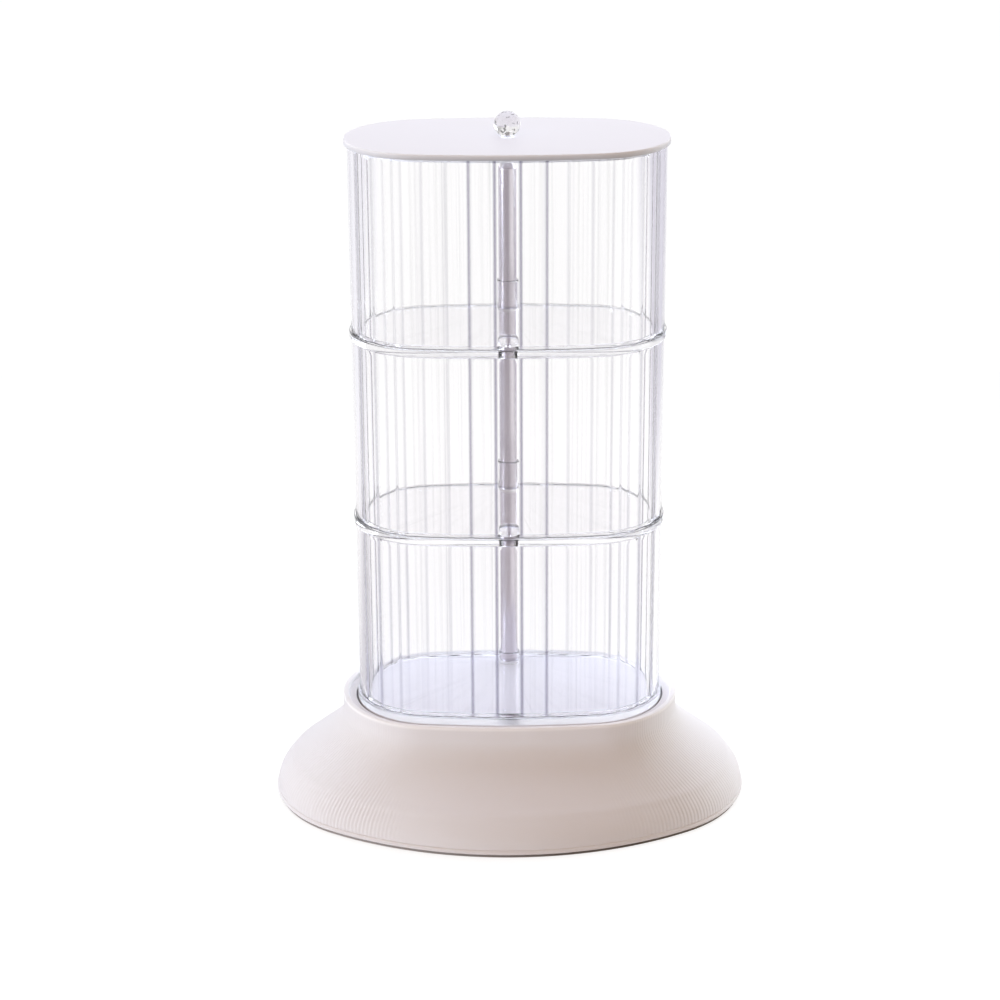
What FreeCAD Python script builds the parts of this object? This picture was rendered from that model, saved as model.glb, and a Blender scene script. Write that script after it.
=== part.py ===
import FreeCAD, Part
import math
import os
from collections import namedtuple

# Three-tier organiser: clear fluted oval trays on a steel post, white lid, flared white base.
# Millimetres, +Z up, origin under the middle of the base, where its feet stand. The front faces -Y.

# Trays
tray_length = 172.0  # over the crests of the flutes
tray_depth = 90.0
tray_side_bow = 2.7  # how far the long sides bulge past the end arcs
tray_pitch = 107.5  # from one tray's underside to the next
tray_wall = 2.2
flute_count = 32
flute_rise = 0.9  # height of a crest above the grooves beside it
panel_rise = 0.3  # the same in the plainer panels of the long sides
panel_start = 2  # where such a panel starts, in flutes from the middle of a long side
panel_end = 4
floor_thickness = 4.0
floor_overhang = 1.0  # the floor's edge beyond the flute crests
floor_edge_round = 0.8
floor_step = 1.5  # raised middle of the floor, which locates the wall
wall_seat_gap = 0.2  # between that step and the wall
swivel_gap = 0.3  # between a tray's wall and what turns or rests above it
tray_names = ("bottom", "middle", "top")

# Post and hubs
post_diameter = 9.5
rod_diameter = 5.0
rod_clearance = 0.1  # radial, round the rod
hub_clearance = 0.06  # radial, between a hub and the post
hub_seat_clearance = 0.05  # radial, between a hub and its floor
hub_wall_gap = 1.0  # between a hub and the grooves of the back wall
hub_collar_diameter = 11.8
turning_collar_height = 16.0
standing_collar_height = 5.0
hub_spigot_diameter = 10.8
hub_edge_round = 0.6
post_headroom = 22.0  # from the top of the tube to the lid
cap_height = 6.0
cap_top_diameter = 6.0
stud_headroom = 10.0  # from the top of the rod to the lid

# Pulls on the front of the trays that turn
pull_width = 11.0
pull_height = 6.4
pull_depth = 6.0  # out from the crest of the middle flute
pull_level = 10.2  # from the tray's underside to the middle of the pull
pull_edge_round = 2.4
pull_wall_overlap = 1.5  # how far its blank reaches behind that crest, before the wall is cut away
pull_glue_gap = 0.05  # between the pull and the wall

# Lid
lid_thickness = 3.2
lid_overhang = 1.8  # beyond the flute crests
lid_edge_round = 1.0
lid_lip_height = 2.0
lid_lip_width = 1.6
lid_lip_gap = 0.5  # between the lip and the top wall
knob_diameter = 14.2
knob_flat = 0.8  # height cut off the ball where it stands on the lid
knob_screw_diameter = 3.0
knob_screw_depth = 3.5  # into the ball
knob_screw_clearance = 0.1  # radial
knob_head_diameter = 5.6
knob_head_height = 1.8
knob_washer_diameter = 8.0
knob_washer_thickness = 0.6

# Base
foot_height = 1.5
foot_diameter = 16.0
foot_inset = 20.0  # from the outline of the plate to a foot's centre
plate_thickness = 3.0
plate_ledge = 0.8  # the plate's edge beyond the skirt
plate_edge_round = 1.3
plate_lip_height = 2.5
plate_lip_width = 2.0
plate_lip_gap = 0.3  # between the plate's lip and the skirt
base_height = 54.0  # from the plate to the deck that carries the trays
base_wall = 2.8
flare_reach_x = 38.8  # how far the skirt spreads beyond the rim at each end
flare_reach_y = 36.5  # and at front and back
flare_side_bow = 17.8  # bulge of the long sides at the foot
ogee_bias = 1.3  # above 1 the skirt's turn from hollow to round sits higher
flare_sections = 9
recess_gap = 5.3  # between the bottom tray's floor and the rim
rim_width = 3.2
rim_height = 2.2
rim_round = 1.2
boss_diameter = 22.0
boss_height = 4.0

# Fasteners of the base
washer_diameter = 18.0
washer_thickness = 1.6
nut_across_flats = 8.0
nut_height = 4.0
rod_tail = 2.0  # rod below the nut
screw_inset = 16.0  # from the edge of the deck to a screw's centre
screw_diameter = 3.0
screw_length = 12.0
screw_clearance = 0.05  # radial
screw_head_diameter = 6.0
screw_head_height = 1.7
screw_head_clearance = 0.1
screw_post_diameter = 8.0
corner_count = 4  # feet, and screws

# Heights that follow from those sizes
plate_bottom = foot_height
plate_top = plate_bottom + plate_thickness
deck_top = plate_top + base_height
deck_bottom = deck_top - base_wall
boss_bottom = deck_bottom - boss_height
lid_bottom = deck_top + tray_pitch * len(tray_names)
lid_top = lid_bottom + lid_thickness
wall_height = tray_pitch - floor_thickness - swivel_gap
tube_bottom = deck_top + floor_thickness
tube_top = lid_bottom - post_headroom
post_back = tray_depth / 2 - tray_wall - flute_rise - hub_wall_gap - hub_collar_diameter / 2

Oval = namedtuple("Oval", "half_length half_depth side_bow")
UP = FreeCAD.Vector(0, 0, 1)


def vec(x, y, z=0.0):
    return FreeCAD.Vector(x, y, z)


def grown(oval, by):
    """The parallel oval, further out by the given distance."""
    return Oval(oval.half_length + by, oval.half_depth + by, oval.side_bow)


def arcs_of(oval):
    """End radius, side radius and the angle of the side arc's half, for a four-arc oval."""
    end = oval.half_depth - oval.side_bow
    reach = oval.half_length - end
    side = (reach**2 + oval.half_depth**2 - end**2) / (2 * oval.side_bow)
    return end, side, math.atan2(reach, side - oval.half_depth)


def station(oval, share):
    """Point and outward normal at a share of the way round, from the middle of the front."""
    end, side, turn = arcs_of(oval)
    quarter_length = side * turn + end * (math.pi / 2 - turn)
    quarter, along = divmod((share % 1.0) * 4, 1)
    distance = quarter_length * (along if quarter % 2 == 0 else 1 - along)
    if distance <= side * turn:
        angle = distance / side
        x = side * math.sin(angle)
        y = side * math.cos(angle) - (side - oval.half_depth)
    else:
        angle = turn + (distance - side * turn) / end
        x = oval.half_length - end + end * math.sin(angle)
        y = end * math.cos(angle)
    flip_x = 1 if quarter < 2 else -1
    flip_y = 1 if quarter in (1, 2) else -1
    return vec(flip_x * x, flip_y * y), vec(flip_x * math.sin(angle), flip_y * math.cos(angle))


def oval_wire(oval, z):
    end, side, turn = arcs_of(oval)
    x = side * math.sin(turn)
    y = side * math.cos(turn) - (side - oval.half_depth)
    front = Part.Arc(vec(-x, -y, z), vec(0, -oval.half_depth, z), vec(x, -y, z))
    right = Part.Arc(vec(x, -y, z), vec(oval.half_length, 0, z), vec(x, y, z))
    back = Part.Arc(vec(x, y, z), vec(0, oval.half_depth, z), vec(-x, y, z))
    left = Part.Arc(vec(-x, y, z), vec(-oval.half_length, 0, z), vec(-x, -y, z))
    return Part.Wire([arc.toShape() for arc in (front, right, back, left)])


def slab(wire, height):
    return Part.Face(wire).extrude(UP * height)


def oval_slab(oval, bottom, height):
    return slab(oval_wire(oval, bottom), height)


def oval_ring(oval, width, bottom, height):
    return oval_slab(oval, bottom, height).cut(oval_slab(grown(oval, -width), bottom, height))


def rod(diameter, bottom, height, at=vec(0, 0)):
    return Part.makeCylinder(diameter / 2, height, vec(at.x, at.y, bottom))


def edges_at(shape, z):
    """Edges that lie in the level plane at z."""
    box_edges = [(edge, edge.BoundBox) for edge in shape.Edges]
    return [edge for edge, box in box_edges if abs(box.ZMin - z) < 1e-6 and abs(box.ZMax - z) < 1e-6]


def corners(oval):
    """Four places, a quarter of the way round from each other, clear of the middles."""
    return [station(oval, (k + 0.5) / corner_count)[0] for k in range(corner_count)]


tray_oval = Oval(tray_length / 2, tray_depth / 2, tray_side_bow)
floor_oval = grown(tray_oval, floor_overhang)
inside_oval = grown(tray_oval, -tray_wall - flute_rise)
rim_oval = grown(floor_oval, recess_gap + rim_width)
skirt_oval = Oval(
    rim_oval.half_length + flare_reach_x,
    rim_oval.half_depth + flare_reach_y,
    flare_side_bow,
)
plate_oval = grown(skirt_oval, plate_ledge)
post_place = vec(0, post_back)
screw_places = corners(grown(rim_oval, -base_wall - screw_inset))
foot_places = corners(grown(plate_oval, -foot_inset))


def groove_rise(step):
    """Depth of the groove at a place counted in flutes from the middle of the front."""
    from_middle = abs((step + flute_count / 4) % (flute_count / 2) - flute_count / 4)
    return panel_rise if panel_start < from_middle < panel_end else flute_rise


def fluted_wire(inset, z):
    """Outline of round flutes that meet in sharp grooves, moved inward by inset."""
    def point(step, depth):
        place, normal = station(tray_oval, step / flute_count)
        return place - normal * depth + UP * z

    arcs = []
    for k in range(flute_count):
        groove = point(k - 0.5, inset + groove_rise(k - 0.5))
        crest = point(k, inset)
        next_groove = point(k + 0.5, inset + groove_rise(k + 0.5))
        arcs.append(Part.Arc(groove, crest, next_groove).toShape())
    return Part.Wire(arcs)


def tray_wall_sleeve(bottom):
    outside = slab(fluted_wire(0.0, bottom), wall_height)
    return outside.cut(slab(fluted_wire(tray_wall, bottom), wall_height))


def tray_floor(bottom):
    top = bottom + floor_thickness
    plate = oval_slab(floor_oval, bottom, floor_thickness)
    plate = plate.makeFillet(floor_edge_round, edges_at(plate, bottom) + edges_at(plate, top))
    step = oval_slab(grown(inside_oval, -wall_seat_gap), top, floor_step)
    bore_diameter = hub_spigot_diameter + 2 * hub_seat_clearance
    bore = rod(bore_diameter, bottom, floor_thickness + floor_step, post_place)
    return plate.fuse(step).removeSplitter().cut(bore)


def rod_hole(bottom, height):
    return rod(rod_diameter + 2 * rod_clearance, bottom, height, post_place)


def hub_body(bottom, collar_height):
    """Collar that stands on the floor's step, with a spigot through the floor."""
    seat = floor_thickness + floor_step
    collar = rod(hub_collar_diameter, bottom + seat, collar_height, post_place)
    collar = collar.makeFillet(hub_edge_round, edges_at(collar, bottom + seat + collar_height))
    return rod(hub_spigot_diameter, bottom, seat, post_place).fuse(collar).removeSplitter()


def turning_hub(bottom):
    """Long sleeve that keeps its tray level while it turns on the post."""
    height = floor_thickness + floor_step + turning_collar_height
    bore = rod(post_diameter + 2 * hub_clearance, bottom, height, post_place)
    return hub_body(bottom, turning_collar_height).cut(bore)


def standing_hub(bottom):
    """The bottom tray's hub: the tube stands in its socket and the rod goes on through."""
    socket_height = floor_step + standing_collar_height
    socket = rod(post_diameter + 2 * hub_clearance, bottom + floor_thickness, socket_height, post_place)
    return hub_body(bottom, standing_collar_height).cut(rod_hole(bottom, floor_thickness)).cut(socket)


def tray_pull(bottom):
    """Rounded finger pull, seated on the middle flute of the tray's front."""
    crest = -tray_oval.half_depth
    corner = vec(-pull_width / 2, crest - pull_depth, bottom + pull_level - pull_height / 2)
    blank = Part.makeBox(pull_width, pull_depth + pull_wall_overlap, pull_height, corner)
    behind = crest + pull_wall_overlap
    outer_edges = [edge for edge in blank.Edges if edge.BoundBox.YMin < behind - 1e-6]
    wall = slab(fluted_wire(-pull_glue_gap, bottom), pull_level + pull_height)
    return blank.makeFillet(pull_edge_round, outer_edges).cut(wall)


def post_tube():
    height = tube_top - tube_bottom
    return rod(post_diameter, tube_bottom, height, post_place).cut(rod_hole(tube_bottom, height))


def post_cap():
    foot = post_place + UP * tube_top
    cone = Part.makeCone(post_diameter / 2, cap_top_diameter / 2, cap_height, foot)
    return cone.cut(rod_hole(tube_top, cap_height))


def tie_rod():
    bottom = boss_bottom - washer_thickness - nut_height - rod_tail
    return rod(rod_diameter, bottom, lid_bottom - stud_headroom - bottom, post_place)


def base_washer():
    bottom = boss_bottom - washer_thickness
    return rod(washer_diameter, bottom, washer_thickness, post_place).cut(rod_hole(bottom, washer_thickness))


def base_nut():
    bottom = boss_bottom - washer_thickness - nut_height
    radius = nut_across_flats / math.sqrt(3)
    angles = [k * math.pi / 3 for k in range(7)]
    points = [post_place + vec(radius * math.cos(a), radius * math.sin(a), bottom) for a in angles]
    return slab(Part.makePolygon(points), nut_height).cut(rod_hole(bottom, nut_height))


def flare(inset):
    """Solid ogee skirt from foot to deck, moved inward and down by inset."""
    wires = []
    for k in range(flare_sections):
        height = k / (flare_sections - 1)
        spread = (1 + math.cos(math.pi * height**ogee_bias)) / 2
        section = Oval(
            rim_oval.half_length + spread * flare_reach_x,
            rim_oval.half_depth + spread * flare_reach_y,
            rim_oval.side_bow + spread * (flare_side_bow - rim_oval.side_bow),
        )
        wires.append(oval_wire(grown(section, -inset), plate_top - inset + height * base_height))
    return Part.makeLoft(wires, True, False)


def base_rim():
    ring = oval_ring(rim_oval, rim_width, deck_top, rim_height)
    return ring.makeFillet(rim_round, edges_at(ring, deck_top + rim_height))


def base_shell():
    shell = flare(0.0).cut(flare(base_wall)).fuse(base_rim())
    posts = [rod(screw_post_diameter, plate_top, deck_bottom - plate_top, at) for at in screw_places]
    boss = rod(boss_diameter, boss_bottom, boss_height, post_place)
    shell = shell.fuse(posts + [boss]).removeSplitter()
    pilot = screw_diameter + 2 * screw_clearance
    holes = [rod(pilot, plate_top, screw_length, at) for at in screw_places]
    holes.append(rod_hole(boss_bottom, deck_top - boss_bottom))
    return shell.cut(holes)


def base_bottom_plate():
    plate = oval_slab(plate_oval, plate_bottom, plate_thickness)
    plate = plate.makeFillet(plate_edge_round, edges_at(plate, plate_bottom) + edges_at(plate, plate_top))
    lip_oval = grown(skirt_oval, -base_wall - plate_lip_gap)
    plate = plate.fuse(oval_ring(lip_oval, plate_lip_width, plate_top, plate_lip_height))
    shank_hole = screw_diameter + 2 * screw_clearance
    head_hole = screw_head_diameter + 2 * screw_head_clearance
    cuts = [rod(shank_hole, plate_bottom, plate_thickness, at) for at in screw_places]
    cuts += [rod(head_hole, plate_bottom, screw_head_height, at) for at in screw_places]
    return plate.removeSplitter().cut(cuts)


def base_screw(at):
    head = rod(screw_head_diameter, plate_bottom, screw_head_height, at)
    return head.fuse(rod(screw_diameter, plate_bottom, screw_length, at)).removeSplitter()


def lid_plate():
    plate = oval_slab(grown(tray_oval, lid_overhang), lid_bottom, lid_thickness)
    plate = plate.makeFillet(lid_edge_round, edges_at(plate, lid_top))
    lip_bottom = lid_bottom - lid_lip_height
    lip = oval_ring(grown(inside_oval, -lid_lip_gap), lid_lip_width, lip_bottom, lid_lip_height)
    hole = rod(knob_screw_diameter + 2 * knob_screw_clearance, lid_bottom, lid_thickness)
    return plate.fuse(lip).removeSplitter().cut(hole)


def lid_knob():
    radius = knob_diameter / 2
    ball = Part.makeSphere(radius, vec(0, 0, lid_top - knob_flat + radius))
    below = rod(knob_diameter, lid_top - knob_flat, knob_flat)
    hole = rod(knob_screw_diameter + 2 * knob_screw_clearance, lid_top, knob_screw_depth)
    return ball.cut(below).cut(hole)


def knob_washer():
    bottom = lid_bottom - knob_washer_thickness
    hole = rod(knob_screw_diameter + 2 * knob_screw_clearance, bottom, knob_washer_thickness)
    return rod(knob_washer_diameter, bottom, knob_washer_thickness).cut(hole)


def knob_screw():
    bottom = lid_bottom - knob_washer_thickness - knob_head_height
    head = rod(knob_head_diameter, bottom, knob_head_height)
    shank = rod(knob_screw_diameter, bottom, lid_top + knob_screw_depth - bottom)
    return head.fuse(shank).removeSplitter()


def build():
    parts = {
        "base_shell": base_shell(),
        "base_bottom_plate": base_bottom_plate(),
        "base_feet": Part.makeCompound([rod(foot_diameter, 0, foot_height, at) for at in foot_places]),
        "base_screws": Part.makeCompound([base_screw(at) for at in screw_places]),
        "base_washer": base_washer(),
        "base_nut": base_nut(),
        "tie_rod": tie_rod(),
        "post_tube": post_tube(),
        "post_cap": post_cap(),
        "lid_plate": lid_plate(),
        "lid_knob": lid_knob(),
        "knob_screw": knob_screw(),
        "knob_washer": knob_washer(),
    }
    for k, name in enumerate(tray_names):
        bottom = deck_top + k * tray_pitch
        parts[name + "_tray_floor"] = tray_floor(bottom)
        parts[name + "_tray_wall"] = tray_wall_sleeve(bottom + floor_thickness)
        if k == 0:
            parts[name + "_tray_hub"] = standing_hub(bottom)
        else:
            parts[name + "_tray_hub"] = turning_hub(bottom)
            parts[name + "_tray_pull"] = tray_pull(bottom)
    return parts


os.makedirs("parts", exist_ok=True)
for node, shape in build().items():
    shape.exportStep("parts/" + node + ".step")
    print(node, len(shape.Solids), shape.isValid(), round(shape.Volume, 1))
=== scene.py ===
import math
from collections import namedtuple

import bmesh
import bpy
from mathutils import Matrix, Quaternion, Vector


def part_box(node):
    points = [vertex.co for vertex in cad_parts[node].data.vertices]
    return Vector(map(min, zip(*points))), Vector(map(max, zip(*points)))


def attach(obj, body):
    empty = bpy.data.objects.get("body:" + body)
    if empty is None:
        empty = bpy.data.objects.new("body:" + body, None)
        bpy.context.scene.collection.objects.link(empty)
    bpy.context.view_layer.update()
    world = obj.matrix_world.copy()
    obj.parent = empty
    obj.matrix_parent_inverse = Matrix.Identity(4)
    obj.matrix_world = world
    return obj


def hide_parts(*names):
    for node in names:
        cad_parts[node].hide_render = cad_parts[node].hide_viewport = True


# Looks of the three-tier organiser: clear fluted trays, white lid and flared base, steel post.
# Metres, +Z up, the front faces -Y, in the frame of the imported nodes.
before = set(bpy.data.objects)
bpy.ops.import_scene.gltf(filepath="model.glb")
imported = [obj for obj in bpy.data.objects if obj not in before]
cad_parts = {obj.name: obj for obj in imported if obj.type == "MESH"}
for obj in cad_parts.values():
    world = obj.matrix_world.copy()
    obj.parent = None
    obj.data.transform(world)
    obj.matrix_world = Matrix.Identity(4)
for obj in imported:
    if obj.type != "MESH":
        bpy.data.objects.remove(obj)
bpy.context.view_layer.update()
boxes = {name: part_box(name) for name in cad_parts}
scene = bpy.context.scene
MM = 0.001

# Sizes that the boxes of the nodes don't give. A mark says how much painted shade an edge or a groove gets,
# or below zero how much painted highlight.
tray_names = ("bottom", "middle", "top")
tray_bodies = {"bottom": "base", "middle": "tray_middle", "top": "tray_top"}
clear_gap = 0.06 * MM  # air between clear pieces that touch

# Tray walls
tray_side_bow = 2.7 * MM
tray_wall = 2.2 * MM
wall_edge = 0.35 * MM
# Painted shade along the top and foot edges of the walls, for the dark lines the rounded edges refract
wall_top_shade = 0.4
wall_foot_shades = {"bottom": 0.1, "middle": 0.5, "top": 0.5}
flute_count = 32
flute_rise = 0.9 * MM
flute_runout = 2.6 * MM  # at both ends of a wall the flutes flatten a little
runout_share = 0.55
runout_levels = (0.25, 0.5, 0.75, 1.0)  # shares of the runout at which a wall has rings
# Painted shade in a band along the foot of the back wall, where the recess behind it lies in shade
back_foot_shades = {"bottom": 0.4, "middle": 0.0, "top": 0.0}  # of a band along the foot of the back
back_band_low, back_band_high = 0.4, 0.8  # shares of the runout between which that band lies
panel_rise = 0.3 * MM  # shallower grooves in the plainer panels of the long sides
panel_start = 2  # flutes from the middle of a long side
panel_end = 4
groove_round = 0.09  # share of a half flute that is rounded at the groove
# Painted shade in the grooves, for the dark lines they refract, from the middle of a long side to the end of
# the tray
front_groove_shades = (0.85, 0.75, 0.06, 0.06, 0.2, 0.5, 0.95, 1.0)
back_groove_shades = (0.15, 0.16, 0.24, 0.28, 0.34, 0.36, 0.8, 0.9)
# Painted groove shade is stronger on the lower trays, whose grooves refract darker surroundings
groove_shade_gains = {"bottom": 1.6, "middle": 1.1, "top": 0.85}  # for the grooves beyond the panels
mark_start, mark_full = 0.86, 0.94  # depths between which a groove's mark sets in

# Tray floors
floor_overhang = 1.0 * MM
floor_step = 1.5 * MM
floor_edge_round = 0.5 * MM
# Painted shade at the clear floors' rounded edges and steps, for the dark lines they refract; on the frosted
# bottom floor the same marks roughen and barely tint
floor_edge_shades_and_frost = {"bottom": 1.0, "middle": 0.55, "top": 0.55}
floor_face_marks = {"bottom": 1.0, "middle": 0.0, "top": 0.0}
floor_step_rounds = {"bottom": 0.5 * MM, "middle": 0.3 * MM, "top": 0.3 * MM}
floor_step_shades_and_frost = {"bottom": 0.6, "middle": 0.5, "top": 0.4}
floor_step_fades = {"bottom": 0.0, "middle": 4.0, "top": 4.0}  # how fast these marks fade towards the front
floor_waves = {"bottom": 2.0 * MM, "middle": 1.2 * MM, "top": 0.5 * MM}  # of the raised middle's back edge
wall_seat_gap = 0.2 * MM

# Hubs and finger pulls
hub_spigot_radius = 5.4 * MM
hub_edge_round = 0.6 * MM
# Painted dark glints at the hub's top edge and round its foot, fading over the lengths below
hub_top_glint = 0.15
hub_foot_bevel = 0.2 * MM
hub_foot_glint = 0.7
hub_fade_below = 1.5 * MM  # lengths over which the foot's mark fades
hub_fade_above = 2.0 * MM
pull_sharpness = 3.0  # 2 makes an ellipse, more makes it squarer
# Painted shade towards a pull's top and bottom, for the dark lines it refracts there
pull_shade_start = 0.7  # share of the half height from which a pull is marked
pull_form = ((0.0, 0.9), (0.03, 0.96), (0.12, 0.995), (0.45, 1.0), (0.62, 0.98), (0.76, 0.92), (0.86, 0.82),
             (0.93, 0.68), (0.97, 0.5), (0.99, 0.3), (1.0, 0.1))  # way out of a pull, and its size there

# Post
post_radius = 4.75 * MM
post_edge = 0.3 * MM
cap_bevel_height = 0.4 * MM
cap_bevel_wall = 0.65 * MM  # how far the cap stands out from the rod under its bevel
cap_top_wall = 0.4 * MM  # and above it
rod_radius = 2.5 * MM
rod_hole_radius = 2.6 * MM
rod_end_bevel = 0.4 * MM
rod_end_inner, rod_end_outer = 0.4, 0.8  # shares of the thread's core, for the rings of the flat ends
thread_pitch = 0.8 * MM
thread_depth = 0.4 * MM
thread_runout = 0.5 * MM
rings_per_thread = 8

# Lid and knob
lid_edge_round = 0.6 * MM
lid_low_round = 0.35 * MM
# Painted shade on the lid's upright edge, for the shade of the gap between lid and walls
lid_edge_shade = 0.56  # of the upright edge, low in the middle
lid_edge_fade = 0.3  # share of that mark higher up
lid_end_fade = 0.45  # share of it that is lost at the round ends
lid_lip_height = 2.0 * MM
lid_lip_width = 1.6 * MM
lid_lip_gap = 0.5 * MM
lid_lip_round = 0.3 * MM
knob_hole_radius = 1.6 * MM
knob_hole_depth = 3.5 * MM
knob_hole_end = 0.05 * MM  # radius of the small flat in the hole's end
knob_top_angle = 89.3  # degrees, up to a small flat on the ball

# Base
base_wall = 2.8 * MM
base_boss_radius = 11.0 * MM
base_boss_height = 4.0 * MM
screw_inset = 16.0 * MM
screw_post_radius = 4.0 * MM
screw_hole_radius = 1.55 * MM
rim_width = 3.2 * MM
rim_round = 0.7 * MM
rim_gap = 5.3 * MM  # between the bottom tray's floor and the rim
rim_height = 2.2 * MM
# Painted highlight along the rim, which lies in the lid's shadow
rim_highlight = -1.0  # below zero, a mark makes an edge paler
seam_width = 1.1 * MM  # narrow channel in the deck, round the bottom tray
seam_depth = 1.6 * MM
seam_round = 0.25 * MM
# Painted shade in the seam, less of it on the long sides, where light reaches in
seam_shade = 1.0
seam_side_share = 0.2  # share of the seam's mark that is left on the long sides
seam_fade_power = 4
flare_side_bow = 17.8 * MM
ogee_bias = 1.08  # more keeps the flank wide further up
collar_height = 6.5 * MM  # upright top of the skirt, under the rim
skirt_steps = 96
ridge_level = 21.0 * MM  # height of a soft line round the skirt
ridge_rise = 0.55 * MM
ridge_width = 2.0 * MM
plate_ledge = 0.8 * MM
foot_inset = 20.0 * MM
foot_round = 0.5 * MM
foot_flat_share = 0.3  # of a foot's radius, for the rings of its flat faces

# Meshes
ring_points = 256
half_flute_points = 8
groove_crowding = 1.7  # more brings the points of a flute closer to its grooves
lead_share = 0.3  # length of a corner's straight leads, in radii
sharp_angle = math.radians(38)  # edges that bend more than this stay sharp

Oval = namedtuple("Oval", "half_length half_depth side_bow")
# A point's mark is its painted shade, or below zero its painted highlight
Point = namedtuple("Point", "out z line")  # distance outward, height and mark
Ring = namedtuple("Ring", "points lines")


# Outlines


def grown(oval, by):
    return Oval(oval.half_length + by, oval.half_depth + by, oval.side_bow)


def oval_of(solid, side_bow):
    high = boxes[solid][1]
    return Oval(high.x, high.y, side_bow)


def station(oval, share):
    """Point and outward normal at a share of the way round a four-arc oval, from the middle of the front."""
    end = oval.half_depth - oval.side_bow
    reach = oval.half_length - end
    side = (reach**2 + oval.half_depth**2 - end**2) / (2 * oval.side_bow)
    turn = math.atan2(reach, side - oval.half_depth)
    quarter, along = divmod((share % 1.0) * 4, 1)
    distance = (side * turn + end * (math.pi / 2 - turn)) * (along if quarter % 2 == 0 else 1 - along)
    if distance <= side * turn:
        angle = distance / side
        x, y = side * math.sin(angle), side * math.cos(angle) - (side - oval.half_depth)
    else:
        angle = turn + (distance - side * turn) / end
        x, y = reach + end * math.sin(angle), end * math.cos(angle)
    flip_x = 1 if quarter < 2 else -1
    flip_y = 1 if quarter in (1, 2) else -1
    place = Vector((flip_x * x, flip_y * y, 0))
    normal = Vector((flip_x * math.sin(angle), flip_y * math.cos(angle), 0))
    return place, normal


tray_oval = oval_of("bottom_tray_wall", tray_side_bow)
inside_oval = grown(tray_oval, -tray_wall - flute_rise)
floor_oval = grown(tray_oval, floor_overhang)
rim_oval = grown(floor_oval, rim_gap + rim_width)
skirt_oval = oval_of("base_shell", flare_side_bow)
plate_oval = grown(skirt_oval, plate_ledge)
deck = boxes["bottom_tray_floor"][0].z
skirt_foot = boxes["base_shell"][0].z
post_place = Vector((0, (boxes["post_tube"][0].y + boxes["post_tube"][1].y) / 2, 0))
middle_place = Vector((0, 0, 0))

# Where rings have their points: evenly, or closer together at the grooves of the flutes
EVEN = [k / ring_points for k in range(ring_points)]
FLUTE_SIDE = [0.5 - 0.5 * (1 - k / half_flute_points) ** groove_crowding for k in range(half_flute_points)]
FLUTE = [-0.5] + [-offset for offset in reversed(FLUTE_SIDE[1:])] + FLUTE_SIDE
FLUTED = [(k + offset) / flute_count for k in range(flute_count) for offset in FLUTE]
CORNERS = [0.125, 0.375, 0.625, 0.875]


def flat(*places):
    return [Point(out, z, 0.0) for out, z in places]


def corner(out, z, radius, start, end, steps=5, line=0.0, lead_in=0.0, lead_out=0.0):
    """Points round a corner between two angles in degrees, with a short straight lead at each end."""
    angles = [math.radians(start + (end - start) * k / steps) for k in range(steps + 1)]
    arc = [Point(out + radius * math.cos(a), z + radius * math.sin(a), line) for a in angles]
    lead = math.copysign(lead_share * radius, end - start)
    first, last = angles[0], angles[-1]
    before = Point(arc[0].out + lead * math.sin(first), arc[0].z - lead * math.cos(first), lead_in)
    after = Point(arc[-1].out - lead * math.sin(last), arc[-1].z + lead * math.cos(last), lead_out)
    return [before] + arc + [after]


def level(oval, z, line=0.0):
    return Ring([station(oval, share)[0] + Vector((0, 0, z)) for share in EVEN], [line] * len(EVEN))


def hole(radius, z, oval, at):
    """Round ring whose points lie straight between its middle and those of an oval ring about it."""
    points = []
    for share in EVEN:
        toward = (station(oval, share)[0] - at).normalized()
        points.append(at + toward * radius + Vector((0, 0, z)))
    return Ring(points, [0.0] * len(EVEN))


def oval_rings(oval, profile):
    return [level(grown(oval, point.out), point.z, point.line) for point in profile]


def round_rings(profile, steps=64, at=middle_place):
    angles = [2 * math.pi * k / steps for k in range(steps)]
    rings = []
    for out, z, line in profile:
        points = [at + Vector((out * math.cos(a), out * math.sin(a), z)) for a in angles]
        rings.append(Ring(points, [line] * steps))
    return rings


# Meshes


def skin(name, rings, closed=True):
    """Smooth skin through rings of points. The last ring meets the first, or both ends get a cap."""
    count = len(rings[0].points)
    mesh = bpy.data.meshes.new(name)
    faces = []
    pairs = [(r, (r + 1) % len(rings)) for r in range(len(rings) - (0 if closed else 1))]
    for a, b in pairs:
        for k in range(count):
            n = (k + 1) % count
            faces.append((a * count + k, a * count + n, b * count + n, b * count + k))
    if not closed:
        faces += [tuple(range(count))[::-1], tuple((len(rings) - 1) * count + k for k in range(count))]
    mesh.from_pydata([p for ring in rings for p in ring.points], [], faces)
    lines = mesh.attributes.new("line", "FLOAT", "POINT")
    lines.data.foreach_set("value", [value for ring in rings for value in ring.lines])
    travelled = [0.0]
    for a, b in zip(rings, rings[1:]):
        travelled.append(travelled[-1] + (a.points[0] - b.points[0]).length)
    uv = mesh.uv_layers.new(name="UVMap")
    for face in mesh.polygons:
        first = face.vertices[0] % count
        for loop in face.loop_indices:
            ring, k = divmod(mesh.loops[loop].vertex_index, count)
            wraps = first > count / 2 and k == 0
            uv.data[loop].uv = (1.0 if wraps else k / count, travelled[ring])
    form = bmesh.new()
    form.from_mesh(mesh)
    bmesh.ops.recalc_face_normals(form, faces=form.faces)
    form.to_mesh(mesh)
    form.free()
    mesh.shade_smooth()
    mesh.set_sharp_from_angle(angle=sharp_angle)
    piece = bpy.data.objects.new(name, mesh)
    scene.collection.objects.link(piece)
    return piece


def joined(name, pieces):
    """One piece made of several."""
    bpy.ops.object.select_all(action="DESELECT")
    for piece in pieces:
        piece.select_set(True)
    bpy.context.view_layer.objects.active = pieces[0]
    bpy.ops.object.join()
    pieces[0].name = name
    return pieces[0]


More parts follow.
